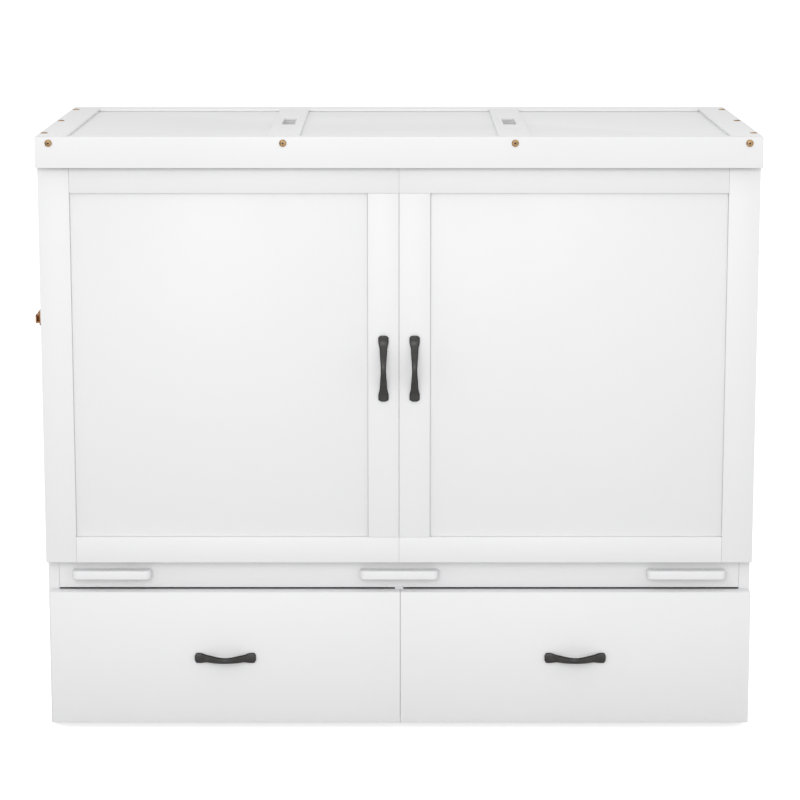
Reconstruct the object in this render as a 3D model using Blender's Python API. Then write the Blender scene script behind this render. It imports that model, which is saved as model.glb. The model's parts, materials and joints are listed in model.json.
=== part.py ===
"""Murphy wall bed: a closed cabinet whose front folds down into a bed, over two drawers.

X runs across, Z up from the floor, and Y back. Every y below counts back from the front edges of
the side panels; FRONT_Y turns it into the part's own Y, whose zero is the middle of the divider.
"""

import math

import bpy
import bmesh
from mathutils import Matrix, Vector

GAP = 0.0003  # between pieces that touch
WIDTH = 1.478
HALF = WIDTH / 2
PANEL_T = 0.0225  # side panel
DEPTH = 0.677  # of the side panels
BACK_T = 0.012
RAIL_T = 0.020
TOE = (0.045, 0.006)  # how far back and how high the uprights are relieved behind the drawers
FRONT_Y = -(DEPTH - BACK_T) / 2

LID_HALF = 0.740
LID_BOTTOM = 1.1945
LID_TOP = 1.259
LID_FRONT = -0.061
LID_BACK = 0.680
LID_BOARD = (1.239, 1.253)
LID_STILE = 0.0615
LID_MIDDLE = (0.236, 0.0325)  # x of a middle stile's centre line, and half its width
SLOT_WIDTH = 0.027
SLOT_Y = (0.225, 0.375)
LID_AXIS = (0.683, 1.238)

DECK_TOP = 0.379
SLAT_T = 0.012
RAIL_BOTTOM = 0.3025
BLOCK = (0.166, 0.027, 0.020)  # across, out, high
BLOCK_TOP = 0.344

FOLD_AXIS = (-0.012, 0.369)
PANEL_Y = (-0.036, -0.002)
PANEL_Z = (0.365, 1.192)
STILE = 0.064
TOP_RAIL = 0.051
BOTTOM_RAIL = 0.054
LUG_X = 0.560
LUG_R = 0.006
PIN_R = 0.0025

FOOT_AXIS = (0.0015, 1.184)
FOOT_Y = (0.005, 0.045)
FOOT_START, FOOT_LENGTH = 0.0095, 0.422  # down from its axis
FOOT_HALF = 0.710
END_RAIL_T = 0.012
LEG_LENGTH = 0.357
LEG_W = 0.018
LEG_Y = FOOT_Y[0] + 0.020
LEG_FROM_AXIS = {"inner": 0.031, "outer": 0.399}
LEG_X = {"inner": 0.660, "outer": 0.610}
KNUCKLE_R = {"lid": 0.0028, "foot": 0.0022}

DRAWER_Z = (0.016, 0.2999)
DRAWER_FRONT = (-0.033, -0.001)
DRAWER_SEAM = 0.0003  # half the gap between the two fronts
DRAWER_INSET = 0.0031  # the fronts are this much narrower than the case, at each end
DRAWER_ASIDE = 0.0025  # the fronts hang this far to the right
DRAWER_BOX_Z = (0.030, 0.230)
DRAWER_BACK = 0.540
DRAWER_WALL = 0.012
DRAWER_BASE_T = 0.009
DIVIDER_HALF = 0.009
SLIDE_SPACE = 0.0133
SLIDE_Z = 0.100
SLIDE_H = 0.044

PULL_W, PULL_OUT, PULL_BAR = 0.012, 0.032, 0.009
PULL_FOOT = (0.021, 0.016, 0.005)  # wide, long, thick
DOOR_PULL = (0.0322, 0.7775, 0.137)  # x, z, length
DRAWER_PULL = (0.3684, 0.1582, 0.128)
LATCH_Z = 0.880
LATCH_HALF = 0.0135
SEAM = 0.0003  # half the groove between the two false doors
SHARP = math.radians(35)

SIDES = {"left": -1, "right": 1}


def material(name, colour, roughness, metallic=0.0):
    made = bpy.data.materials.new(name)
    made.use_nodes = True
    shader = made.node_tree.nodes["Principled BSDF"]
    shader.inputs["Base Color"].default_value = (*colour, 1)
    shader.inputs["Roughness"].default_value = roughness
    shader.inputs["Metallic"].default_value = metallic
    made.diffuse_color = (*colour, 1)
    return made


def place(obj, point, parent=None):
    """Puts obj's origin at a point of the part's frame; its parents are unturned empties."""
    obj.parent = parent
    while parent:
        point = point - parent.location
        parent = parent.parent
    obj.location = point


def joint(name, y, z, parent=None):
    """An empty on a joint's axis, which its moving pieces are parented to."""
    empty = bpy.data.objects.new(name, None)
    bpy.context.collection.objects.link(empty)
    place(empty, Vector((0, y + FRONT_Y, z)), parent)
    return empty


def span(a, b):
    return (min(a, b), max(a, b))


def add_box(bm, x, y, z):
    """Adds a box to bm; x, y and z are each a (low, high) pair."""
    sides = list(zip(x, y, z))
    size = Vector(sides[1]) - Vector(sides[0])
    centre = (Vector(sides[1]) + Vector(sides[0])) / 2
    turned = Matrix.Translation(centre) @ Matrix.Diagonal((*size, 1))
    bmesh.ops.create_cube(bm, size=1, matrix=turned)


def add_rod(bm, radius, x, y, z, segments=16):
    """Adds a cylinder along X."""
    turned = Matrix.Translation(((x[0] + x[1]) / 2, y, z)) @ Matrix.Rotation(math.pi / 2, 4, "Y")
    bmesh.ops.create_cone(
        bm, cap_ends=True, segments=segments, radius1=radius, radius2=radius,
        depth=x[1] - x[0], matrix=turned,
    )


def add_prism(bm, outline, along, ends):
    """Extrudes an outline, given in the other two axes' order, along axis 0, 1 or 2."""
    def lifted(point):
        return Vector((*point[:along], ends[0], *point[along:]))

    face = bm.faces.new([bm.verts.new(lifted(point)) for point in outline])
    grown = bmesh.ops.extrude_face_region(bm, geom=[face])["geom"]
    shift = Vector((0, 0, 0))
    shift[along] = ends[1] - ends[0]
    bmesh.ops.translate(
        bm, vec=shift, verts=[part for part in grown if isinstance(part, bmesh.types.BMVert)]
    )
    bmesh.ops.recalc_face_normals(bm, faces=bm.faces)


def finished(name, bm, look=None, parent=None):
    """Makes bm an object whose origin is the centre of its box. Without a look it is a helper."""
    lows = [min(v.co[i] for v in bm.verts) for i in range(3)]
    highs = [max(v.co[i] for v in bm.verts) for i in range(3)]
    centre = (Vector(lows) + Vector(highs)) / 2
    bmesh.ops.translate(bm, vec=-centre, verts=bm.verts)
    mesh = bpy.data.meshes.new(name)
    bm.to_mesh(mesh)
    bm.free()
    mesh.shade_smooth()
    mesh.set_sharp_from_angle(angle=SHARP)
    obj = bpy.data.objects.new(name, mesh)
    bpy.context.collection.objects.link(obj)
    place(obj, centre + Vector((0, FRONT_Y, 0)), parent)
    if look:
        mesh.materials.append(look)
    else:
        obj.hide_render = True
        obj.display_type = "WIRE"
    return obj


def boxes(name, spans, look=None, parent=None, bevel=0.0):
    """One object of one box or of several that stand apart, with eased edges."""
    bm = bmesh.new()
    for x, y, z in spans:
        add_box(bm, x, y, z)
    obj = finished(name, bm, look, parent)
    if bevel:
        ease = obj.modifiers.new("eased edges", "BEVEL")
        ease.width = bevel
        ease.segments = 1
    return obj


def boolean(obj, other, operation):
    made = obj.modifiers.new(other.name, "BOOLEAN")
    made.operation = operation
    made.object = other
    made.solver = "EXACT"


def cut(obj, other):
    boolean(obj, other, "DIFFERENCE")


def join(obj, other):
    boolean(obj, other, "UNION")


def cabinet(looks):
    """The standing case: sides, back, divider, fixed front rail with its blocks, and slatted deck."""
    inside = HALF - PANEL_T - GAP
    paint, wood = looks["paint"], looks["wood"]
    toe = [(0, TOE[1]), TOE, (TOE[0], 0)]
    side_outline = toe + [(DEPTH, 0), (DEPTH, LID_BOTTOM - GAP), (0, LID_BOTTOM - GAP)]
    for side, s in SIDES.items():
        bm = bmesh.new()
        add_prism(bm, side_outline, 0, span(s * (HALF - PANEL_T), s * HALF))
        finished(f"side_panel_{side}", bm, paint)
        cleat = span(s * inside, s * (inside - RAIL_T))
        y = (RAIL_T + 2 * GAP, DEPTH - BACK_T - GAP)
        z = (DECK_TOP - SLAT_T - 0.0230, DECK_TOP - SLAT_T - GAP)
        boxes(f"deck_cleat_{side}", [(cleat, y, z)], wood)
        block_x = (s * 0.604 - BLOCK[0] / 2, s * 0.604 + BLOCK[0] / 2)
        support_block(f"support_block_{side}", block_x, paint)
    support_block("support_block_centre", (-BLOCK[0] / 2, BLOCK[0] / 2), paint)
    across = (-inside, inside)
    boxes("back_panel", [(across, (DEPTH - BACK_T, DEPTH), (0.030, 1.090 - GAP))], paint)
    top_rail_y = (DEPTH - RAIL_T, DEPTH)
    boxes("back_top_rail", [(across, top_rail_y, (1.090, LID_AXIS[1] - 0.001))], paint)
    rail = boxes("front_rail", [(across, (0, RAIL_T), (RAIL_BOTTOM, DECK_TOP - GAP))], paint)
    notch_z = (FOLD_AXIS[1] - LUG_R - 0.0005, DECK_TOP + 0.01)
    notches = [
        ((s * LUG_X - 0.0035, s * LUG_X + 0.0035), (-0.01, RAIL_T + 0.01), notch_z)
        for s in SIDES.values()
    ]
    cut(rail, boxes("lug_notches", notches))
    bm = bmesh.new()
    divider_back = DEPTH - BACK_T - GAP
    behind_rail = RAIL_T + 2 * GAP
    divider_top = DECK_TOP - SLAT_T - GAP
    outline = toe + [
        (divider_back, 0), (divider_back, divider_top), (behind_rail, divider_top),
        (behind_rail, RAIL_BOTTOM - GAP), (0, RAIL_BOTTOM - GAP),
    ]
    add_prism(bm, outline, 0, (-DIVIDER_HALF, DIVIDER_HALF))
    finished("centre_divider", bm, paint)
    slat_roll("deck_slats", inside - 0.0005, 8, 0.060, 0.026, 0.660,
              lambda a, b: ((a, b), (DECK_TOP - SLAT_T, DECK_TOP)),
              lambda a, b: ((a, b), (DECK_TOP - SLAT_T, DECK_TOP - SLAT_T + 0.003)), wood)


def support_block(name, x, look):
    """A block on the front rail that the folded panel comes down on, round at its front corners."""
    radius = 0.012
    bm = bmesh.new()
    front, back = -BLOCK[1], -GAP
    outline = [(x[0], back)]
    for centre_x, start in ((x[0] + radius, 180), (x[1] - radius, 270)):
        for step in range(5):
            turn = math.radians(start + 22.5 * step)
            outline.append(
                (centre_x + radius * math.cos(turn), front + radius + radius * math.sin(turn))
            )
    outline.append((x[1], back))
    add_prism(bm, outline, 2, (BLOCK_TOP - BLOCK[2], BLOCK_TOP))
    finished(name, bm, look)


def slat_roll(name, half, count, width, first, last, slat_yz, strap_yz, look, parent=None):
    """Slats across the bed at an even pitch, held in one roll by two webbing straps."""
    pitch = (last - first - width) / (count - 1)
    slats = [
        ((-half, half), *slat_yz(first + pitch * i, first + pitch * i + width))
        for i in range(count)
    ]
    roll = boxes(name, slats, look, parent)
    straps = [
        ((s * half / 2 - 0.015, s * half / 2 + 0.015), *strap_yz(first + 0.01, last - 0.01))
        for s in SIDES.values()
    ]
    join(roll, boxes(name + "_straps", straps, None, parent))


def pivot_brackets(looks):
    """Two lugs with pins, hooked over the front rail, that the folding panel turns on."""
    y, z = FOLD_AXIS
    for side, s in SIDES.items():
        x = s * LUG_X
        bm = bmesh.new()
        head = [
            (y + LUG_R * math.cos(math.radians(a)), z + LUG_R * math.sin(math.radians(a)))
            for a in range(90, 271, 30)
        ]
        behind = RAIL_T + 2 * GAP
        flange_back = behind + 0.0020
        outline = head + [
            (behind, z - LUG_R), (behind, z - 0.034), (flange_back, z - 0.034),
            (flange_back, z - LUG_R), (flange_back, z + LUG_R),
        ]
        add_prism(bm, outline, 0, (x - 0.003, x + 0.003))
        bracket = finished(f"panel_pivot_bracket_{side}", bm, looks["zinc"])
        flange = [((x - 0.020, x + 0.020), (behind, flange_back), (z - 0.0340, z - 0.0080))]
        join(bracket, boxes(f"{side}_bracket_flange", flange))
        pin = bmesh.new()
        add_rod(pin, PIN_R, (x - 0.018, x + 0.018), y, z, 12)
        join(bracket, finished(f"{side}_bracket_pin", pin))


def drawers(looks):
    """Two drawers side by side, each on a pair of two-part slides."""
    for side, s in SIDES.items():
        body = joint(f"drawer_{side}_slide", 0, SLIDE_Z)
        front_x = span(DRAWER_ASIDE + s * DRAWER_SEAM, DRAWER_ASIDE + s * (HALF - DRAWER_INSET))
        boxes(f"drawer_front_{side}", [(front_x, DRAWER_FRONT, DRAWER_Z)], looks["paint"], body)
        outer_wall = HALF - PANEL_T
        box_x = span(s * (DIVIDER_HALF + SLIDE_SPACE), s * (outer_wall - SLIDE_SPACE))
        box_y = (DRAWER_FRONT[1] + GAP, DRAWER_BACK)
        box = boxes(f"drawer_box_{side}", [(box_x, box_y, DRAWER_BOX_Z)], looks["wood"], body)
        wall = DRAWER_WALL
        hollow = [(
            (box_x[0] + wall, box_x[1] - wall), (box_y[0] + wall, box_y[1] - wall),
            (DRAWER_BOX_Z[0] + DRAWER_BASE_T, DRAWER_BOX_Z[1] + 0.05),
        )]
        cut(box, boxes(f"drawer_hollow_{side}", hollow, None, body))
        for where, wall_x, inward in (("outer", outer_wall, -1), ("inner", DIVIDER_HALF, 1)):
            slide(f"{side}_{where}", s * wall_x, s * inward, body, looks["zinc"])
        pull_x = DRAWER_ASIDE + s * DRAWER_PULL[0]
        centre = Vector((pull_x, DRAWER_FRONT[0] - GAP, DRAWER_PULL[1]))
        pull(f"drawer_pull_{side}", centre, DRAWER_PULL[2], 0, looks["black"], body)


def slide(name, wall_x, inward, body, look):
    """A C channel on the case and the bar that runs in it, fixed to the drawer."""
    near = wall_x + inward * GAP
    skin, deep, half = 0.0015, 0.0095, SLIDE_H / 2
    lip = half - 0.006
    profile = [
        (0, -half), (deep, -half), (deep, -lip), (deep - skin, -lip), (deep - skin, skin - half),
        (skin, skin - half), (skin, half - skin), (deep - skin, half - skin),
        (deep - skin, lip), (deep, lip), (deep, half), (0, half),
    ]
    bm = bmesh.new()
    outline = [(near + inward * x, SLIDE_Z + z) for x, z in profile]
    add_prism(bm, outline, 1, (0.006, DRAWER_BACK + 0.010))
    finished(f"drawer_rail_{name}", bm, look)
    bar_half = lip - 0.0005
    bar_x = span(near + inward * (skin + 0.001), wall_x + inward * (SLIDE_SPACE - GAP))
    bar_z = (SLIDE_Z - bar_half, SLIDE_Z + bar_half)
    boxes(f"drawer_runner_{name}", [(bar_x, (0.006, DRAWER_BACK - 0.005), bar_z)], look, body)


def pull(name, foot, length, along, look, body):
    """An arched bar pull; foot is the middle of its back, and it runs along X (0) or Z (2)."""
    steps = 14

    def arch(half, top):
        """Points of an arch from one end to the other, each as (along, out)."""
        turns = [math.cos(math.pi * step / steps) for step in range(steps + 1)]
        return [(half * turn, top * max(0.0, 1 - abs(turn) ** 3) ** 0.6) for turn in turns]

    edge = arch(length / 2, PULL_OUT) + arch(length / 2 - 0.012, PULL_OUT - PULL_BAR)[::-1]
    bm = bmesh.new()
    if along == 0:
        outline = [(foot.x + u, foot.y - out) for u, out in edge]
        add_prism(bm, outline, 2, (foot.z - PULL_W / 2, foot.z + PULL_W / 2))
    else:
        outline = [(foot.y - out, foot.z + u) for u, out in edge]
        add_prism(bm, outline, 0, (foot.x - PULL_W / 2, foot.x + PULL_W / 2))
    bar = finished(name, bm, look, body)
    feet = []
    for s in SIDES.values():
        middle = s * (length - PULL_FOOT[1]) / 2
        run = (middle - PULL_FOOT[1] / 2 - 0.0005, middle + PULL_FOOT[1] / 2 + 0.0005)
        wide = (-PULL_FOOT[0] / 2, PULL_FOOT[0] / 2)
        x, z = (run, wide) if along == 0 else (wide, run)
        feet.append((
            (foot.x + x[0], foot.x + x[1]), (foot.y - PULL_FOOT[2], foot.y),
            (foot.z + z[0], foot.z + z[1]),
        ))
    join(bar, boxes(name + "_feet", feet, None, body))


def folding_panel(looks, body):
    """The front: two framed false doors in one panel, which is the middle of the bed when down."""
    paint, wood = looks["paint"], looks["wood"]
    inner = HALF - STILE - GAP
    rail_x = (-inner, inner)
    slat_back = PANEL_Y[1]
    middle_back = slat_back - SLAT_T - 0.0004
    bottom_z = (PANEL_Z[0], PANEL_Z[0] + BOTTOM_RAIL)
    top_z = (PANEL_Z[1] - TOP_RAIL, PANEL_Z[1])
    between = (bottom_z[1] + GAP, top_z[0] - GAP)
    top = boxes("panel_top_rail", [(rail_x, PANEL_Y, top_z)], paint, body)
    bottom = boxes("panel_bottom_rail", [(rail_x, PANEL_Y, bottom_z)], paint, body)
    groove = [((-SEAM, SEAM), (PANEL_Y[0] - 0.01, PANEL_Y[0] + 0.002), (0.3, 1.25))]
    seam_cutter = boxes("seam_cutter", groove, None, body)
    cut(top, seam_cutter)
    cut(bottom, seam_cutter)
    y, z = FOLD_AXIS
    slots = [
        ((s * LUG_X - 0.0037, s * LUG_X + 0.0037), (y - LUG_R - 0.0007, 0.01),
         (0.3, z + LUG_R + 0.0007))
        for s in SIDES.values()
    ]
    cut(bottom, boxes("lug_slots", slots, None, body))
    bores = bmesh.new()
    for s in SIDES.values():
        add_rod(bores, PIN_R + 0.0003, (s * LUG_X - 0.020, s * LUG_X + 0.020), y, z, 16)
    cut(bottom, finished("pin_bores", bores, None, body))
    for side, s in SIDES.items():
        outer_x = span(s * (HALF - STILE), s * HALF)
        boxes(f"panel_outer_stile_{side}", [(outer_x, PANEL_Y, PANEL_Z)], paint, body)
        middle_x = span(s * SEAM, s * (SEAM + STILE))
        middle_y = (PANEL_Y[0], middle_back)
        boxes(f"panel_middle_stile_{side}", [(middle_x, middle_y, between)], paint, body)
        door_x = span(s * (SEAM + STILE + GAP), s * inner)
        door_y = (PANEL_Y[0] + 0.008, PANEL_Y[0] + 0.014)
        boxes(f"panel_inset_{side}", [(door_x, door_y, between)], paint, body)
        foot = Vector((s * DOOR_PULL[0], PANEL_Y[0] - GAP, DOOR_PULL[1]))
        pull(f"door_pull_{side}", foot, DOOR_PULL[2], 2, looks["black"], body)
    slat_roll("panel_slats", inner - GAP, 9, 0.060, between[0] + 0.004, between[1] - 0.004,
              lambda a, b: ((slat_back - SLAT_T, slat_back), (a, b)),
              lambda a, b: ((slat_back - SLAT_T, slat_back - SLAT_T + 0.003), (a, b)),
              wood, body)


def hinge_leaf(name, axis, radius, bore, plate_y, plate_z, bridge_y, bridge_z, spans, look, body):
    """A leaf of a long hinge: its plate, its own knuckles, and the pin or the pin's bore."""
    reach = (-0.660, 0.660)
    leaf = boxes(name, [(reach, plate_y, plate_z)], look, body)
    join(leaf, boxes(name + "_bridges", [(x, bridge_y, bridge_z) for x in spans], None, body))
    knuckles = bmesh.new()
    for x in spans:
        add_rod(knuckles, radius, x, *axis, 16)
    join(leaf, finished(name + "_knuckles", knuckles, None, body))
    pin = bmesh.new()
    if bore:
        add_rod(pin, radius * 0.5 + GAP, (-0.670, 0.670), *axis, 16)
        cut(leaf, finished(name + "_bore", pin, None, body))
    else:
        add_rod(pin, radius * 0.5, (-0.659, 0.659), *axis, 12)
        join(leaf, finished(name + "_pin", pin, None, body))


def knuckle_spans(count):
    """The x spans of the knuckles, alternately the fixed leaf's and the moving leaf's."""
    pitch = 1.320 / count
    spans = [(-0.660 + pitch * i + 0.0005, -0.660 + pitch * (i + 1) - 0.0005) for i in range(count)]
    return spans[::2], spans[1::2]


def lid(looks, body):
    """The hinged top: a board with planted stiles and back rail, and an apron on three sides."""
    paint = looks["paint"]
    behind_apron = LID_FRONT + RAIL_T + GAP
    board_y = (behind_apron, LID_BACK)
    planted = (LID_BOARD[1] + GAP, LID_TOP)
    front_z = (LID_BOTTOM, LID_TOP)
    apron_y = (LID_FRONT, LID_FRONT + RAIL_T)
    boxes("lid_front_apron", [((-LID_HALF, LID_HALF), apron_y, front_z)], paint, body, 0.0008)
    board = boxes("lid_board", [((-LID_HALF, LID_HALF), board_y, LID_BOARD)], paint, body)
    middle_x, middle_half = LID_MIDDLE
    slots = [
        ((s * middle_x - SLOT_WIDTH / 2, s * middle_x + SLOT_WIDTH / 2), SLOT_Y, (1.2, 1.3))
        for s in SIDES.values()
    ]
    slot_cutter = boxes("slot_cutter", slots, None, body)
    cut(board, slot_cutter)
    back_rail_y = (LID_BACK - 0.060, LID_BACK)
    between = (-(LID_HALF - LID_STILE - GAP), LID_HALF - LID_STILE - GAP)
    boxes("lid_back_rail", [(between, back_rail_y, planted)], paint, body)
    for side, s in SIDES.items():
        apron_x = span(s * (LID_HALF - RAIL_T), s * LID_HALF)
        apron_z = (LID_BOTTOM, LID_BOARD[0] - GAP)
        boxes(f"lid_side_apron_{side}", [(apron_x, board_y, apron_z)], paint, body)
        end_x = span(s * (LID_HALF - LID_STILE), s * LID_HALF)
        boxes(f"lid_end_stile_{side}", [(end_x, board_y, planted)], paint, body)
        stile_x = (s * middle_x - middle_half, s * middle_x + middle_half)
        stile_y = (behind_apron, back_rail_y[0] - GAP)
        stile = boxes(f"lid_middle_stile_{side}", [(stile_x, stile_y, planted)], paint, body)
        cut(stile, slot_cutter)
    y, z = LID_AXIS
    fixed, moving = knuckle_spans(7)
    hinge_leaf("lid_hinge_fixed_leaf", LID_AXIS, KNUCKLE_R["lid"], False,
               (DEPTH + GAP, DEPTH + 0.0018), (z - 0.033, z - 0.0032),
               (DEPTH + GAP, y - 0.0008), (z - 0.0060, z - 0.0002), fixed, looks["zinc"], None)
    hinge_leaf("lid_hinge_moving_leaf", LID_AXIS, KNUCKLE_R["lid"], True,
               (LID_BACK + GAP, LID_BACK + 0.0018), (z + 0.0032, z + 0.0145),
               (LID_BACK + GAP, y - 0.0002), (z + 0.0004, z + 0.0060), moving, looks["zinc"], body)


def foot_section(looks, body, panel_body):
    """The foot of the bed, folded against the panel's inner face, with a hinge like a book's."""
    wood = looks["wood"]
    top = FOOT_AXIS[1] - FOOT_START
    low = FOOT_AXIS[1] - FOOT_LENGTH
    rail = 0.020
    frame = boxes("foot_frame", [((-FOOT_HALF, FOOT_HALF), FOOT_Y, (low, top))], wood, body)
    inner_x = FOOT_HALF - rail
    open_z = (low + END_RAIL_T, top - END_RAIL_T)
    ledge = 0.010
    slat_t = 0.009
    front = [((-inner_x, inner_x), (FOOT_Y[0] - 0.01, FOOT_Y[0] + slat_t + GAP), open_z)]
    cut(frame, boxes("foot_slat_recess", front, None, body))
    through = [((-inner_x + ledge, inner_x - ledge), (FOOT_Y[0] - 0.02, FOOT_Y[1] + 0.02), open_z)]
    cut(frame, boxes("foot_opening", through, None, body))
    behind = [
        (span(s * (inner_x - ledge - 0.005), s * inner_x),
         (FOOT_Y[0] + 0.015, FOOT_Y[1] + 0.02), open_z)
        for s in SIDES.values()
    ]
    cut(frame, boxes("foot_ledge_cutter", behind, None, body))
    bores = bmesh.new()
    for s in SIDES.values():
        for down in LEG_FROM_AXIS.values():
            ends = span(s * 0.650, s * 0.7015)
            add_rod(bores, 0.0044, ends, LEG_Y, FOOT_AXIS[1] - down, 16)
    cut(frame, finished("leg_bores", bores, None, body))
    slat_roll("foot_slats", inner_x - GAP, 5, 0.060, open_z[0] + GAP, open_z[1] - GAP,
              lambda a, b: ((FOOT_Y[0], FOOT_Y[0] + slat_t), (a, b)),
              lambda a, b: ((FOOT_Y[0] + slat_t - 0.0012, FOOT_Y[0] + slat_t + 0.0010), (a, b)),
              wood, body)
    y, z = FOOT_AXIS
    own, other = knuckle_spans(7)
    radius = KNUCKLE_R["foot"]
    plate_z = (z - 0.034, z - 0.0028)
    bridge_z = (z - 0.0050, z - 0.0002)
    hinge_leaf("foot_hinge_panel_leaf", FOOT_AXIS, radius, False,
               (PANEL_Y[1] + GAP, PANEL_Y[1] + 0.0015), plate_z,
               (PANEL_Y[1] + GAP, y - 0.0005), bridge_z, own, looks["zinc"], panel_body)
    hinge_leaf("foot_hinge_foot_leaf", FOOT_AXIS, radius, True,
               (FOOT_Y[0] - 0.0015, FOOT_Y[0] - GAP), plate_z,
               (y + 0.0005, FOOT_Y[0] - GAP), bridge_z, other, looks["zinc"], body)


def leg_frame(name, looks, body):
    """Two legs on a cross shaft; stored inside the foot section, the outer pair points up."""
    z = FOOT_AXIS[1] - LEG_FROM_AXIS[name]
    away = -1 if name == "inner" else 1
    x = LEG_X[name]
    shaft = bmesh.new()
    add_rod(shaft, 0.004, (-0.700, 0.700), LEG_Y, z, 16)
    frame = finished(f"leg_frame_{name}", shaft, looks["steel"], body)
    tube = bmesh.new()
    add_rod(tube, 0.007, (-(x - 0.004), x - 0.004), LEG_Y, z, 20)
    join(frame, finished(f"{name}_shaft_tube", tube, None, body))
    legs = bmesh.new()
    half = LEG_W / 2
    head = [
        (LEG_Y + half * math.cos(math.radians(a)), z - away * half * math.sin(math.radians(a)))
        for a in range(0, 181, 30)
    ]
    tip = z + away * LEG_LENGTH
    outline = head + [(LEG_Y - half, tip), (LEG_Y + half, tip)]
    for s in SIDES.values():
        add_prism(legs, outline, 0, (s * x - half, s * x + half))
    join(frame, finished(f"{name}_legs", legs, None, body))


def latch(looks, panel_body, bolt_body):
    """A slide bolt on the left side panel that enters a keeper on the folding panel's edge."""
    look = looks["bronze"]
    face = -HALF
    low, high = LATCH_Z - LATCH_HALF, LATCH_Z + LATCH_HALF
    body_z = (LATCH_Z - 0.0085, LATCH_Z + 0.0085)
    plate_x = (face - 0.0030, face - GAP)
    base = boxes("latch_base", [(plate_x, (0.004, 0.058), (low, high))], look)
    join(base, boxes("latch_guide", [((face - 0.011, face - 0.002), (0.006, 0.054), body_z)]))
    bore_x = (face - 0.0085, face - 0.0028)
    bore_z = (LATCH_Z - 0.0055, LATCH_Z + 0.0055)
    cut(base, boxes("latch_bore", [(bore_x, (-0.02, 0.08), bore_z)]))
    knob_way = [((face - 0.02, face - 0.006), (0.024, 0.053), (LATCH_Z - 0.0032, LATCH_Z + 0.0032))]
    cut(base, boxes("latch_knob_way", knob_way))
    bolt_x = (bore_x[0] + GAP, bore_x[1] - GAP)
    bolt_z = (bore_z[0] + GAP, bore_z[1] - GAP)
    bolt = boxes("latch_bolt", [(bolt_x, (0.004, 0.056), bolt_z)], look, bolt_body)
    knob = [((face - 0.0110, face - 0.006), (0.0470, 0.0525), (LATCH_Z - 0.0027, LATCH_Z + 0.0027))]
    join(bolt, boxes("latch_knob", knob, None, bolt_body))
    keeper_y = (-0.030, -0.006)
    keeper = boxes("latch_keeper", [(plate_x, keeper_y, (low, high))], look, panel_body)
    loop = [((face - 0.0110, face - 0.002), keeper_y, body_z)]
    join(keeper, boxes("keeper_loop", loop, None, panel_body))
    cut(keeper, boxes("keeper_hole", [(bore_x, (-0.05, 0.02), bore_z)], None, panel_body))


def main():
    for obj in list(bpy.data.objects):
        bpy.data.objects.remove(obj)
    looks = {
        "paint": material("white_paint", (0.86, 0.86, 0.86), 0.45),
        "wood": material("birch", (0.76, 0.62, 0.44), 0.6),
        "zinc": material("zinc_plate", (0.62, 0.63, 0.65), 0.35, 1.0),
        "steel": material("dark_steel", (0.16, 0.16, 0.17), 0.45, 1.0),
        "black": material("black_metal", (0.025, 0.025, 0.03), 0.4, 0.6),
        "bronze": material("bronze", (0.42, 0.24, 0.13), 0.4, 1.0),
    }
    panel_fold = joint("panel_fold", *FOLD_AXIS)
    foot_unfold = joint("foot_unfold", *FOOT_AXIS, panel_fold)
    lid_hinge = joint("lid_hinge", *LID_AXIS)
    bolt_slide = joint("latch_slide", 0.030, LATCH_Z)
    cabinet(looks)
    pivot_brackets(looks)
    drawers(looks)
    folding_panel(looks, panel_fold)
    lid(looks, lid_hinge)
    foot_section(looks, foot_unfold, panel_fold)
    for name, down in LEG_FROM_AXIS.items():
        leg_joint = joint(f"leg_{name}_fold", LEG_Y, FOOT_AXIS[1] - down, foot_unfold)
        leg_frame(name, looks, leg_joint)
    latch(looks, panel_fold, bolt_slide)


main()
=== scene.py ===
"""Looks of the murphy wall bed: painted case, black pulls, brass bolts, slatted bed parts and studio."""

import json
import math

import bmesh
import bpy
from mathutils import Matrix, Vector


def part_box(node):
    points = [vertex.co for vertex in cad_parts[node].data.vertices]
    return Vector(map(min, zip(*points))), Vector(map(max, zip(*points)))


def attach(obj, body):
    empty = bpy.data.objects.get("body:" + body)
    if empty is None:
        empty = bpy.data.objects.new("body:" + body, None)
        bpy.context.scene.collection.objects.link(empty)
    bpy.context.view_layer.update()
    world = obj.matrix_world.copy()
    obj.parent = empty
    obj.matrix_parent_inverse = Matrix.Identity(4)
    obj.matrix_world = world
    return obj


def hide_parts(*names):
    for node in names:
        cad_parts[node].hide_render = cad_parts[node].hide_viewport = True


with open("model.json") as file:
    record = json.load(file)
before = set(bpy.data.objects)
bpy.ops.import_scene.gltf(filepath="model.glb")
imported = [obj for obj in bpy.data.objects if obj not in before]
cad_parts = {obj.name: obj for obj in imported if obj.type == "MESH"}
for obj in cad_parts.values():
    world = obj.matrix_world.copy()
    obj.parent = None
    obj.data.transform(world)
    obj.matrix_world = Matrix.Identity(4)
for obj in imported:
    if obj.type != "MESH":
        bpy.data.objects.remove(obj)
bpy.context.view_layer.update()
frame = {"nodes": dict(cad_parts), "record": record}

record = frame["record"]
SLOT_OF = {part["node"]: part["material_slot"] for part in record["subparts"]}
BODY_OF = {
    node: body for body, nodes in record["behaviour"]["bodies"].items() for node in nodes
}


# ---------------------------------------------------------------- shader groups


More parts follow.
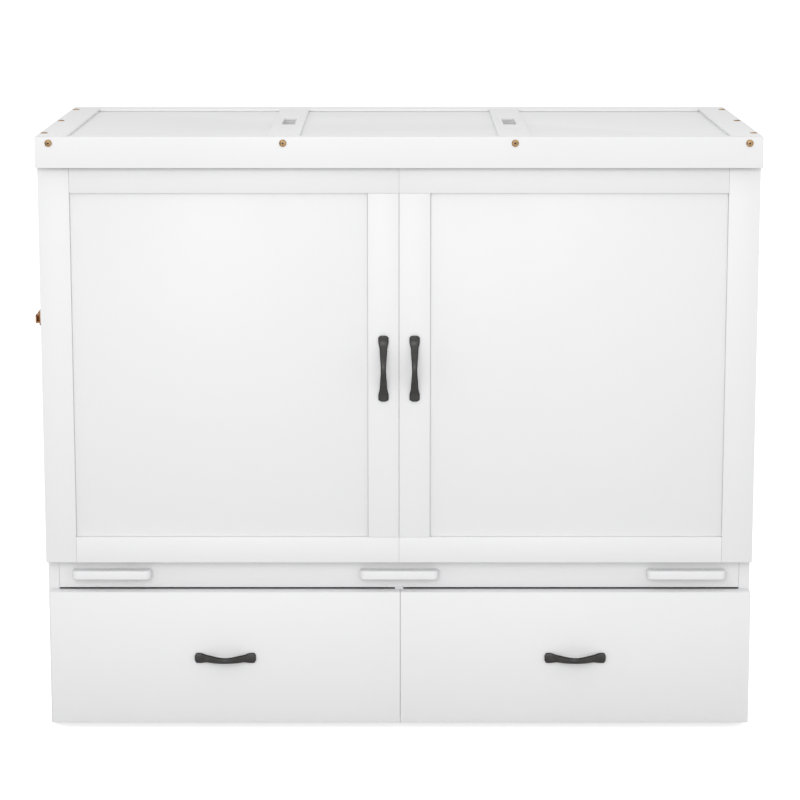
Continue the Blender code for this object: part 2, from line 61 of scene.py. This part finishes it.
def shader_group(name, inputs, outputs):
    """An empty node group with float inputs and typed outputs, and its two ends."""
    tree = bpy.data.node_groups.new(name, "ShaderNodeTree")
    tree.interface.new_socket(name="Position", in_out="INPUT", socket_type="NodeSocketVector")
    for label, value in inputs.items():
        kind = "NodeSocketColor" if isinstance(value, tuple) else "NodeSocketFloat"
        socket = tree.interface.new_socket(name=label, in_out="INPUT", socket_type=kind)
        socket.default_value = value
    for label, kind in outputs.items():
        tree.interface.new_socket(name=label, in_out="OUTPUT", socket_type="NodeSocket" + kind)
    start = tree.nodes.new("NodeGroupInput")
    end = tree.nodes.new("NodeGroupOutput")
    return tree, start, end


def add_node(tree, kind, **values):
    """A node whose named sockets hold these values; a linked socket is given as a socket."""
    node = tree.nodes.new("ShaderNode" + kind)
    for label, value in values.items():
        if label == "settings":
            for key, setting in value.items():
                setattr(node, key, setting)
            continue
        socket = node.inputs[int(label[1:])] if label[0] == "_" else node.inputs[label]
        if isinstance(value, bpy.types.NodeSocket):
            tree.links.new(value, socket)
        else:
            socket.default_value = value
    return node


def scaled(tree, position, scale):
    node = add_node(tree, "VectorMath", settings={"operation": "MULTIPLY"}, _0=position, _1=scale)
    return node.outputs[0]


def noise(tree, position, scale, detail=3.0, roughness=0.5):
    node = add_node(
        tree, "TexNoise", Vector=position, Scale=scale, Detail=detail, Roughness=roughness
    )
    return node.outputs["Fac"]


def spread(tree, value, low, high, to_low=0.0, to_high=1.0):
    node = add_node(tree, "MapRange", _0=value, _1=low, _2=high, _3=to_low, _4=to_high)
    return node.outputs[0]


def maths(tree, operation, first, second):
    return add_node(
        tree, "Math", settings={"operation": operation}, _0=first, _1=second
    ).outputs[0]


def mixed(tree, factor, first, second):
    node = add_node(tree, "Mix", settings={"data_type": "RGBA"})
    for index, value in ((0, factor), (6, first), (7, second)):
        if isinstance(value, bpy.types.NodeSocket):
            tree.links.new(value, node.inputs[index])
        else:
            node.inputs[index].default_value = value
    return node.outputs[2]


def make_sprayed_paint():
    """Sprayed lacquer over sanded board: orange peel, faint grain telegraphing, dusty patches."""
    tree, start, end = shader_group(
        "sprayed paint",
        {"Colour": (0.8, 0.8, 0.8, 1.0), "Shade": (0.7, 0.7, 0.7, 1.0), "Roughness": 0.4},
        {"Colour": "Color", "Roughness": "Float", "Height": "Float"},
    )
    at = start.outputs["Position"]
    peel = noise(tree, at, 420.0, 2.0)
    grain = noise(tree, scaled(tree, at, (9.0, 60.0, 60.0)), 9.0, 4.0, 0.6)
    cloud = noise(tree, at, 3.2, 4.0, 0.55)
    speck = noise(tree, at, 160.0, 4.0, 0.7)
    patch = maths(tree, "MULTIPLY", spread(tree, cloud, 0.35, 0.75), 0.5)
    fleck = maths(tree, "MULTIPLY", spread(tree, speck, 0.62, 0.80), 0.35)
    mask = maths(tree, "ADD", patch, fleck)
    colour = mixed(tree, mask, start.outputs["Colour"], start.outputs["Shade"])
    tree.links.new(colour, end.inputs["Colour"])
    rough = maths(tree, "ADD", start.outputs["Roughness"], spread(tree, cloud, 0.3, 0.7, -0.04, 0.05))
    rough = maths(tree, "ADD", rough, spread(tree, peel, 0.3, 0.7, -0.02, 0.02))
    tree.links.new(rough, end.inputs["Roughness"])
    low = maths(tree, "MULTIPLY", grain, 0.35)
    tree.links.new(maths(tree, "ADD", peel, low), end.inputs["Height"])
    return tree


def make_wood_grain():
    """Straight long grain along the piece, with pores and slow bands of tone."""
    tree, start, end = shader_group(
        "wood grain",
        {
            "Early": (0.8, 0.66, 0.46, 1.0), "Late": (0.6, 0.42, 0.25, 1.0),
            "Pore": (0.3, 0.2, 0.12, 1.0), "Roughness": 0.55,
        },
        {"Colour": "Color", "Roughness": "Float", "Height": "Float"},
    )
    at = start.outputs["Position"]
    warp = noise(tree, scaled(tree, at, (1.2, 6.0, 6.0)), 2.0, 3.0)
    bent = add_node(
        tree, "VectorMath", settings={"operation": "ADD"}, _0=scaled(tree, at, (0.8, 26.0, 26.0)),
        _1=scaled(tree, warp, (0.0, 2.6, 2.6)),
    ).outputs[0]
    bands = add_node(
        tree, "TexWave", settings={"bands_direction": "Z", "wave_profile": "SIN"}, Vector=bent,
        Scale=0.9, Distortion=5.0, Detail=3.0,
    ).outputs["Fac"]
    fibre = noise(tree, scaled(tree, at, (7.0, 420.0, 420.0)), 1.0, 4.0, 0.6)
    pores = noise(tree, scaled(tree, at, (30.0, 900.0, 900.0)), 1.0, 2.0, 0.7)
    tone = maths(tree, "ADD", maths(tree, "MULTIPLY", bands, 0.55), maths(tree, "MULTIPLY", fibre, 0.45))
    colour = mixed(tree, spread(tree, tone, 0.2, 0.9), start.outputs["Early"], start.outputs["Late"])
    pore = spread(tree, pores, 0.62, 0.74, 0.0, 0.55)
    colour = mixed(tree, pore, colour, start.outputs["Pore"])
    tree.links.new(colour, end.inputs["Colour"])
    rough = maths(tree, "ADD", start.outputs["Roughness"], spread(tree, fibre, 0.3, 0.7, -0.05, 0.08))
    tree.links.new(rough, end.inputs["Roughness"])
    tree.links.new(maths(tree, "SUBTRACT", fibre, pore), end.inputs["Height"])
    return tree


def make_metal_finish():
    """Cast or plated metal: a mottled patina, fine pits and rubbed lighter patches."""
    tree, start, end = shader_group(
        "metal finish",
        {
            "Colour": (0.5, 0.5, 0.5, 1.0), "Patina": (0.3, 0.3, 0.3, 1.0),
            "Patina Amount": 0.5, "Roughness": 0.35, "Pit Scale": 500.0,
        },
        {"Colour": "Color", "Roughness": "Float", "Height": "Float"},
    )
    at = start.outputs["Position"]
    patina = spread(tree, noise(tree, at, 90.0, 5.0, 0.65), 0.42, 0.66)
    mask = maths(tree, "MULTIPLY", patina, start.outputs["Patina Amount"])
    tree.links.new(
        mixed(tree, mask, start.outputs["Colour"], start.outputs["Patina"]), end.inputs["Colour"]
    )
    pits = add_node(tree, "TexNoise", Vector=at, Scale=start.outputs["Pit Scale"], Detail=3.0)
    rough = maths(tree, "ADD", start.outputs["Roughness"], maths(tree, "MULTIPLY", mask, 0.18))
    rough = maths(tree, "ADD", rough, spread(tree, pits.outputs["Fac"], 0.3, 0.7, -0.04, 0.04))
    tree.links.new(rough, end.inputs["Roughness"])
    tree.links.new(pits.outputs["Fac"], end.inputs["Height"])
    return tree


SPRAYED_PAINT = make_sprayed_paint()
WOOD_GRAIN = make_wood_grain()
METAL_FINISH = make_metal_finish()


# ---------------------------------------------------------------- materials


def finish_material(
    name, group, values, bump, metallic=0.0, specular=0.5, turn=(0.0, 0.0, 0.0)
):
    """A material whose colour, roughness and bump come from a group on Object coordinates."""
    material = bpy.data.materials.new(name)
    material.use_nodes = True
    tree = material.node_tree
    shader = tree.nodes["Principled BSDF"]
    shader.inputs["Metallic"].default_value = metallic
    shader.inputs["Specular IOR Level"].default_value = specular
    where = tree.nodes.new("ShaderNodeTexCoord")
    mapping = tree.nodes.new("ShaderNodeMapping")
    mapping.inputs["Rotation"].default_value = turn
    tree.links.new(where.outputs["Object"], mapping.inputs["Vector"])
    effect = tree.nodes.new("ShaderNodeGroup")
    effect.node_tree = group
    tree.links.new(mapping.outputs["Vector"], effect.inputs["Position"])
    for label, value in values.items():
        effect.inputs[label].default_value = value
    tree.links.new(effect.outputs["Colour"], shader.inputs["Base Color"])
    tree.links.new(effect.outputs["Roughness"], shader.inputs["Roughness"])
    relief = tree.nodes.new("ShaderNodeBump")
    relief.inputs["Strength"].default_value = bump[0]
    relief.inputs["Distance"].default_value = bump[1]
    tree.links.new(effect.outputs["Height"], relief.inputs["Height"])
    tree.links.new(relief.outputs["Normal"], shader.inputs["Normal"])
    return material


QUARTER = math.pi / 2
PAINT_VALUES = {
    "Colour": (0.805, 0.805, 0.81, 1), "Shade": (0.785, 0.785, 0.792, 1), "Roughness": 0.46,
}
BIRCH_VALUES = {
    "Early": (0.72, 0.57, 0.38, 1), "Late": (0.60, 0.43, 0.26, 1), "Pore": (0.36, 0.24, 0.14, 1),
    "Roughness": 0.55,
}
LOOKS = {
    "white_paint": finish_material("white_paint", SPRAYED_PAINT, PAINT_VALUES, (0.10, 0.0004)),
    "upright_paint": finish_material(
        "upright_paint", SPRAYED_PAINT, PAINT_VALUES, (0.10, 0.0004), turn=(0, QUARTER, 0)
    ),
    "birch": finish_material("birch", WOOD_GRAIN, BIRCH_VALUES, (0.25, 0.0003)),
    "birch_along": finish_material(
        "birch_along", WOOD_GRAIN, BIRCH_VALUES, (0.25, 0.0003), turn=(0, 0, QUARTER)
    ),
    "zinc_plate": finish_material(
        "zinc_plate", METAL_FINISH,
        {
            "Colour": (0.66, 0.67, 0.70, 1), "Patina": (0.48, 0.49, 0.50, 1),
            "Patina Amount": 0.7, "Roughness": 0.30, "Pit Scale": 300.0,
        },
        (0.12, 0.0002), metallic=1.0,
    ),
    "dark_metal": finish_material(
        "dark_metal", METAL_FINISH,
        {
            "Colour": (0.05, 0.05, 0.055, 1), "Patina": (0.085, 0.085, 0.09, 1),
            "Patina Amount": 0.5, "Roughness": 0.45, "Pit Scale": 700.0,
        },
        (0.2, 0.0002), metallic=0.3,
    ),
    "black_metal": finish_material(
        "black_metal", METAL_FINISH,
        {
            "Colour": (0.010, 0.009, 0.008, 1), "Patina": (0.026, 0.022, 0.019, 1),
            "Patina Amount": 0.6, "Roughness": 0.5, "Pit Scale": 800.0,
        },
        (0.22, 0.0002), specular=0.12,
    ),
    # A paler black for the pulls' front faces, lighter as a painted highlight; its gloss is the cast's
    # own.
    "highlit_black": finish_material(
        "highlit_black", METAL_FINISH,
        {
            "Colour": (0.030, 0.029, 0.028, 1), "Patina": (0.058, 0.054, 0.050, 1),
            "Patina Amount": 0.5, "Roughness": 0.34, "Pit Scale": 800.0,
        },
        (0.22, 0.0002), specular=0.45,
    ),
    "bronze": finish_material(
        "bronze", METAL_FINISH,
        {
            "Colour": (0.38, 0.175, 0.066, 1), "Patina": (0.085, 0.034, 0.017, 1),
            "Patina Amount": 0.85, "Roughness": 0.34, "Pit Scale": 400.0,
        },
        (0.25, 0.0003), metallic=0.85,
    ),
    "antique_brass": finish_material(
        "antique_brass", METAL_FINISH,
        {
            "Colour": (0.54, 0.36, 0.185, 1), "Patina": (0.18, 0.105, 0.05, 1),
            "Patina Amount": 0.7, "Roughness": 0.44, "Pit Scale": 500.0,
        },
        (0.2, 0.0002), metallic=0.8,
    ),
    "rubber": finish_material(
        "rubber", METAL_FINISH,
        {
            "Colour": (0.03, 0.03, 0.03, 1), "Patina": (0.06, 0.06, 0.06, 1),
            "Patina Amount": 0.4, "Roughness": 0.75, "Pit Scale": 900.0,
        },
        (0.3, 0.0002),
    ),
}


# ---------------------------------------------------------------- pieces


def piece(name, bm, look, body, smooth=35.0):
    """Turns bm into a finished piece that rides on a body; its place stays in its mesh."""
    mesh = bpy.data.meshes.new(name)
    bm.to_mesh(mesh)
    bm.free()
    mesh.materials.append(LOOKS[look])
    mesh.shade_smooth()
    mesh.set_sharp_from_angle(angle=math.radians(smooth))
    obj = bpy.data.objects.new(name, mesh)
    bpy.context.collection.objects.link(obj)
    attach(obj, body)
    return obj


def eased(node, look, width, segments=2):
    """The node's own shape with its machined edges eased, in place of the node."""
    bm = bmesh.new()
    bm.from_mesh(frame["nodes"][node].data)
    bmesh.ops.remove_doubles(bm, verts=bm.verts, dist=1e-5)
    bmesh.ops.dissolve_limit(
        bm, angle_limit=math.radians(1), verts=bm.verts, edges=bm.edges, delimit=set()
    )
    corners = [
        edge for edge in bm.edges
        if len(edge.link_faces) == 2 and edge.calc_face_angle() > math.radians(40)
    ]
    bmesh.ops.bevel(
        bm, geom=corners, offset=width, offset_type="OFFSET", segments=segments, profile=0.5,
        affect="EDGES", material=-1, clamp_overlap=True,
    )
    made = piece(node + "_eased", bm, look, BODY_OF[node])
    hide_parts(node)


def smooth_step(value):
    value = min(1.0, max(0.0, value))
    return value * value * (3 - 2 * value)


def bar_pull(node, along):
    """A cast bar pull: flat spoon ends that lie on the face and a narrow arched grip between."""
    low, high = (Vector(corner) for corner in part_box(node))
    length = (high - low)[along]
    wide_axis = 2 if along == 0 else 0
    centre = (low + high) / 2
    face = high.y
    out_most = high.y - low.y
    end_half, neck_half, waist_half = 0.0107, 0.0077, 0.0056
    end_thick, grip_thick = 0.0066, 0.0090
    corner, crown_rise, rim_round = 0.0056, 0.0016, 0.0013
    arch_reach = 0.84  # share of the half length that the arch takes
    bm = bmesh.new()
    bmesh.ops.create_cube(bm, size=2.0)
    lengthwise = [e for e in bm.edges if abs(e.verts[0].co.x - e.verts[1].co.x) > 1]
    bmesh.ops.subdivide_edges(bm, edges=lengthwise, cuts=47, use_grid_fill=True)
    across = [e for e in bm.edges if abs(e.verts[0].co.y - e.verts[1].co.y) > 1]
    bmesh.ops.subdivide_edges(bm, edges=across, cuts=5, use_grid_fill=True)
    for vert in bm.verts:
        u, v, top = vert.co.x, vert.co.y, vert.co.z > 0
        from_end = (1 - abs(u)) * length / 2
        half = waist_half + (neck_half - waist_half) * smooth_step(abs(u) / 0.62)
        half += (end_half - neck_half) * smooth_step((abs(u) - 0.58) / 0.24)
        if from_end < corner:
            half -= corner - math.sqrt(max(0.0, corner**2 - (corner - from_end) ** 2))
        rise = (0.5 + 0.5 * math.cos(math.pi * min(1.0, abs(u) / arch_reach))) ** 0.85
        outer = end_thick + (out_most - end_thick) * rise
        under = max(0.0, outer - end_thick - (grip_thick - end_thick) * rise)
        crown = crown_rise * (1 - v * v)
        height = outer - crown_rise + crown if top else under
        place = Vector((0, face - height, 0))
        place[along] = centre[along] + u * length / 2
        place[wide_axis] = centre[wide_axis] + v * half
        vert.co = place
    bmesh.ops.recalc_face_normals(bm, faces=bm.faces)
    rims = [e for e in bm.edges if e.calc_face_angle(0) > math.radians(50)]
    bmesh.ops.bevel(
        bm, geom=rims, offset=rim_round, offset_type="OFFSET", segments=3, profile=0.5,
        affect="EDGES", material=-1, clamp_overlap=True,
    )
    # The outward faces get a paler black than the sides and the ends: a painted highlight.
    for cast_face in bm.faces:
        outward = cast_face.normal.y < -0.2 and abs(cast_face.normal[wide_axis]) < 0.45
        cast_face.material_index = 0 if outward else 1
    made = piece(node + "_cast", bm, "highlit_black", BODY_OF[node], 60.0)
    made.data.materials.append(LOOKS["black_metal"])
    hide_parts(node)


def bolt_head(name, at, facing, radius, proud, body, look="antique_brass"):
    """A flanged cap head with a rounded rim and a six-sided driver socket, its floor and walls in dark
    metal as painted shade.
    """
    bm = bmesh.new()
    socket = radius * 0.36
    # Shares of the radius inwards and of the height upwards: flange, groove and raised cap.
    cap_steps = ((0.10, 0.30), (0.16, 0.17), (0.06, -0.20), (0.08, 0.02), (0.06, 0.22))
    bmesh.ops.create_circle(bm, cap_ends=True, segments=36, radius=radius)
    bottom = bm.faces[:]
    bmesh.ops.translate(bm, vec=(0, 0, -0.0002), verts=bm.verts)
    rim = bmesh.ops.extrude_face_region(bm, geom=bottom)["geom"]
    top_face = [part for part in rim if isinstance(part, bmesh.types.BMFace)]
    top_verts = [part for part in rim if isinstance(part, bmesh.types.BMVert)]
    bmesh.ops.translate(bm, vec=(0, 0, proud * 0.45), verts=top_verts)
    bmesh.ops.recalc_face_normals(bm, faces=bm.faces)
    for inward, rise in cap_steps:
        bmesh.ops.inset_region(bm, faces=top_face, thickness=radius * inward, depth=0)
        for vert in top_face[0].verts:
            vert.co.z += proud * rise
    for vert in top_face[0].verts:
        angle = math.atan2(vert.co.y, vert.co.x)
        nearest = math.radians(60) * round(angle / math.radians(60))
        reach = socket * math.cos(math.radians(30)) / math.cos(angle - nearest)
        vert.co.x, vert.co.y = reach * math.cos(angle), reach * math.sin(angle)
    bmesh.ops.inset_region(bm, faces=top_face, thickness=radius * 0.03, depth=0)
    sunk = bmesh.ops.extrude_face_region(bm, geom=top_face)["geom"]
    bmesh.ops.delete(bm, geom=[f for f in top_face if f.is_valid], context="FACES_ONLY")
    floor = [part for part in sunk if isinstance(part, bmesh.types.BMVert)]
    bmesh.ops.translate(bm, vec=(0, 0, -proud * 0.90), verts=floor)
    # The socket's floor and walls take the dark metal: painted shade in the recess.
    for vert in floor:
        for face in vert.link_faces:
            face.material_index = 1
    turn = Vector(facing).to_track_quat("Z", "Y").to_matrix().to_4x4()
    bmesh.ops.transform(bm, matrix=Matrix.Translation(at) @ turn, verts=bm.verts)
    made = piece(name, bm, look, body, 40.0)
    # Dark metal for the socket faces: painted shade.
    made.data.materials.append(LOOKS["dark_metal"])
    return made


def lid_bolts():
    """The brass bolts: along the front apron and down both ends of the top."""
    low, high = (Vector(corner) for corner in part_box("lid_front_apron"))
    radius, front_proud, top_proud = 0.0074, 0.0030, 0.0018
    lift, below_top, end_x = 0.0002, 0.0134, 0.729
    for index, x in enumerate((-0.712, -0.236, 0.236, 0.712)):
        at = (x, low.y - lift, high.z - below_top)
        bolt_head(
            f"lid_front_bolt_{index + 1}", at, (0, -1, 0), radius, front_proud, "lid"
        )
    for side, s in (("left", -1), ("right", 1)):
        for index, back in enumerate((0.078, 0.373, 0.665)):
            at = (s * end_x, low.y + back, high.z + lift)
            bolt_head(
                f"lid_end_bolt_{side}_{index + 1}", at, (0, 0, 1), radius, top_proud, "lid",
            )


def small_screws():
    """Screw heads on the latch plates and along the long hinges."""
    plate_proud, from_edge, per_hinge = 0.0030, 0.0025, 8
    for node in ("latch_base", "latch_keeper"):
        low, high = (Vector(corner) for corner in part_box(node))
        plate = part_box("side_panel_left")[0][0] - plate_proud
        for name, z in (("top", high.z - from_edge), ("bottom", low.z + from_edge)):
            at = (plate - 0.0001, (low.y + high.y) / 2, z)
            bolt_head(
                f"{node}_screw_{name}", at, (-1, 0, 0), 0.0020, 0.0008, BODY_OF[node],
                "bronze",
            )
    for node, drop, thick in (
        ("lid_hinge_fixed_leaf", 0.55, 0.0018), ("foot_hinge_panel_leaf", 0.4, 0.0015)
    ):
        low, high = (Vector(corner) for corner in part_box(node))
        face = low.y + thick - 0.0003
        z = high.z - (high.z - low.z) * drop
        for index in range(per_hinge):
            x = low.x + (high.x - low.x) * (index + 0.5) / per_hinge
            bolt_head(
                f"{node}_screw_{index + 1}", (x, face, z), (0, 1, 0), 0.0030, 0.0006,
                BODY_OF[node], "zinc_plate",
            )


def leg_caps():
    """Rubber caps over the tips of the legs."""
    width, length, middle_in, rounding = 0.0196, 0.0225, 0.0105, 0.0022
    for node, centre_x, up in (("leg_frame_inner", 0.660, False), ("leg_frame_outer", 0.610, True)):
        low, high = (Vector(corner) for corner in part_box(node))
        tip = high.z if up else low.z
        inward = -1 if up else 1
        for side, s in (("left", -1), ("right", 1)):
            bm = bmesh.new()
            middle = Vector((s * centre_x, (low.y + high.y) / 2, tip + inward * middle_in))
            size = Matrix.Diagonal((width, width, length, 1))
            bmesh.ops.create_cube(bm, size=1, matrix=Matrix.Translation(middle) @ size)
            bmesh.ops.bevel(
                bm, geom=bm.edges[:], offset=rounding, offset_type="OFFSET", segments=3,
                profile=0.5, affect="EDGES", material=-1, clamp_overlap=True,
            )
            piece(f"{node}_cap_{side}", bm, "rubber", BODY_OF[node])


SOFT_EDGES = {
    "support_block_left": 0.0042, "support_block_centre": 0.0042, "support_block_right": 0.0042,
    "lid_front_apron": 0.0018,
}


def wood_and_paint():
    """Every board of the case, panel, lid and foot, with its edges eased."""
    fine, plain = 0.0006, 0.0012
    level = [
        "back_panel", "back_top_rail", "front_rail", "lid_back_rail", "lid_board",
        "lid_front_apron", "panel_bottom_rail", "panel_top_rail", "drawer_front_left",
        "drawer_front_right", "support_block_left", "support_block_centre", "support_block_right",
    ]
    upright = [
        "side_panel_left", "side_panel_right", "centre_divider", "panel_outer_stile_left",
        "panel_outer_stile_right", "panel_middle_stile_left", "panel_middle_stile_right",
        "panel_inset_left", "panel_inset_right", "lid_end_stile_left", "lid_end_stile_right",
        "lid_middle_stile_left", "lid_middle_stile_right", "lid_side_apron_left",
        "lid_side_apron_right",
    ]
    for node in level + upright:
        look = "white_paint" if node in level else "upright_paint"
        width = SOFT_EDGES.get(node, plain if "drawer" in node else fine)
        eased(node, look, width, 4 if node in SOFT_EDGES else 2)
    for node in ("deck_slats", "panel_slats", "foot_slats", "drawer_box_left", "drawer_box_right"):
        eased(node, "birch", plain)
    for node in ("deck_cleat_left", "deck_cleat_right"):
        eased(node, "birch_along", plain)
    eased("foot_frame", "birch", fine)


def hardware():
    """Slides, hinges, brackets, leg frames and the latch, with crisp bent or cast edges."""
    for node, slot in SLOT_OF.items():
        if slot == "zinc_plate":
            eased(node, "zinc_plate", 0.0003, 1)
        if slot == "dark_metal":
            eased(node, "dark_metal", 0.0015)
        if slot == "bronze":
            eased(node, "bronze", 0.0006)
    for side in ("left", "right"):
        bar_pull(f"door_pull_{side}", 2)
        bar_pull(f"drawer_pull_{side}", 0)


# ---------------------------------------------------------------- studio


def area_light(name, at, aim, size, power):
    data = bpy.data.lights.new(name, "AREA")
    data.shape = "RECTANGLE"
    data.size, data.size_y = size
    data.energy = power
    lamp = bpy.data.objects.new(name, data)
    bpy.context.collection.objects.link(lamp)
    lamp.location = at
    lamp.rotation_euler = (Vector(aim) - Vector(at)).to_track_quat("-Z", "Y").to_euler()


def studio():
    """A white room: pale floor, soft key from the front, even fill from the sky."""
    floor_glow, sky_light, sky_lift = 0.75, 0.90, 0.2  # the glow and the lift show only in view
    bm = bmesh.new()
    bmesh.ops.create_grid(bm, x_segments=1, y_segments=1, size=150.0)
    mesh = bpy.data.meshes.new("floor")
    bm.to_mesh(mesh)
    bm.free()
    floor = bpy.data.objects.new("floor", mesh)
    bpy.context.collection.objects.link(floor)
    look = bpy.data.materials.new("floor")
    look.use_nodes = True
    shader = look.node_tree.nodes["Principled BSDF"]
    shader.inputs["Base Color"].default_value = (0.62, 0.62, 0.62, 1)
    shader.inputs["Roughness"].default_value = 0.9
    shader.inputs["Specular IOR Level"].default_value = 0.0
    shader.inputs["Emission Color"].default_value = (1, 1, 1, 1)
    rays = look.node_tree.nodes.new("ShaderNodeLightPath")
    glow = maths(look.node_tree, "MULTIPLY", rays.outputs["Is Camera Ray"], floor_glow)
    look.node_tree.links.new(glow, shader.inputs["Emission Strength"])
    mesh.materials.append(look)
    world = bpy.data.worlds.new("studio")
    bpy.context.scene.world = world
    world.use_nodes = True
    sky = world.node_tree.nodes["Background"]
    sky.inputs["Color"].default_value = (1, 1, 1, 1)
    seen = world.node_tree.nodes.new("ShaderNodeLightPath").outputs["Is Camera Ray"]
    lift = maths(world.node_tree, "MULTIPLY", seen, sky_lift)
    strength = maths(world.node_tree, "ADD", lift, sky_light)
    world.node_tree.links.new(strength, sky.inputs["Strength"])
    area_light("key", (-0.5, -5.0, 2.2), (0, -0.3, 0.7), (3.0, 2.0), 75)
    area_light("fill", (2.6, -5.0, 1.6), (0, -0.3, 0.6), (3.0, 3.0), 8)
    bpy.context.scene.view_settings.view_transform = "Standard"
    bpy.context.scene.view_settings.look = "None"


def camera():
    data = bpy.data.cameras.new("camera")
    data.sensor_width = 36.0
    data.lens = 128.1
    data.clip_end = 400.0
    viewer = bpy.data.objects.new("camera", data)
    bpy.context.collection.objects.link(viewer)
    viewer.location = (0.002, -6.1675, 1.789)
    viewer.rotation_euler = (math.radians(79.47), 0, 0)
    bpy.context.scene.camera = viewer


wood_and_paint()
hardware()
lid_bolts()
small_screws()
leg_caps()
studio()
camera()
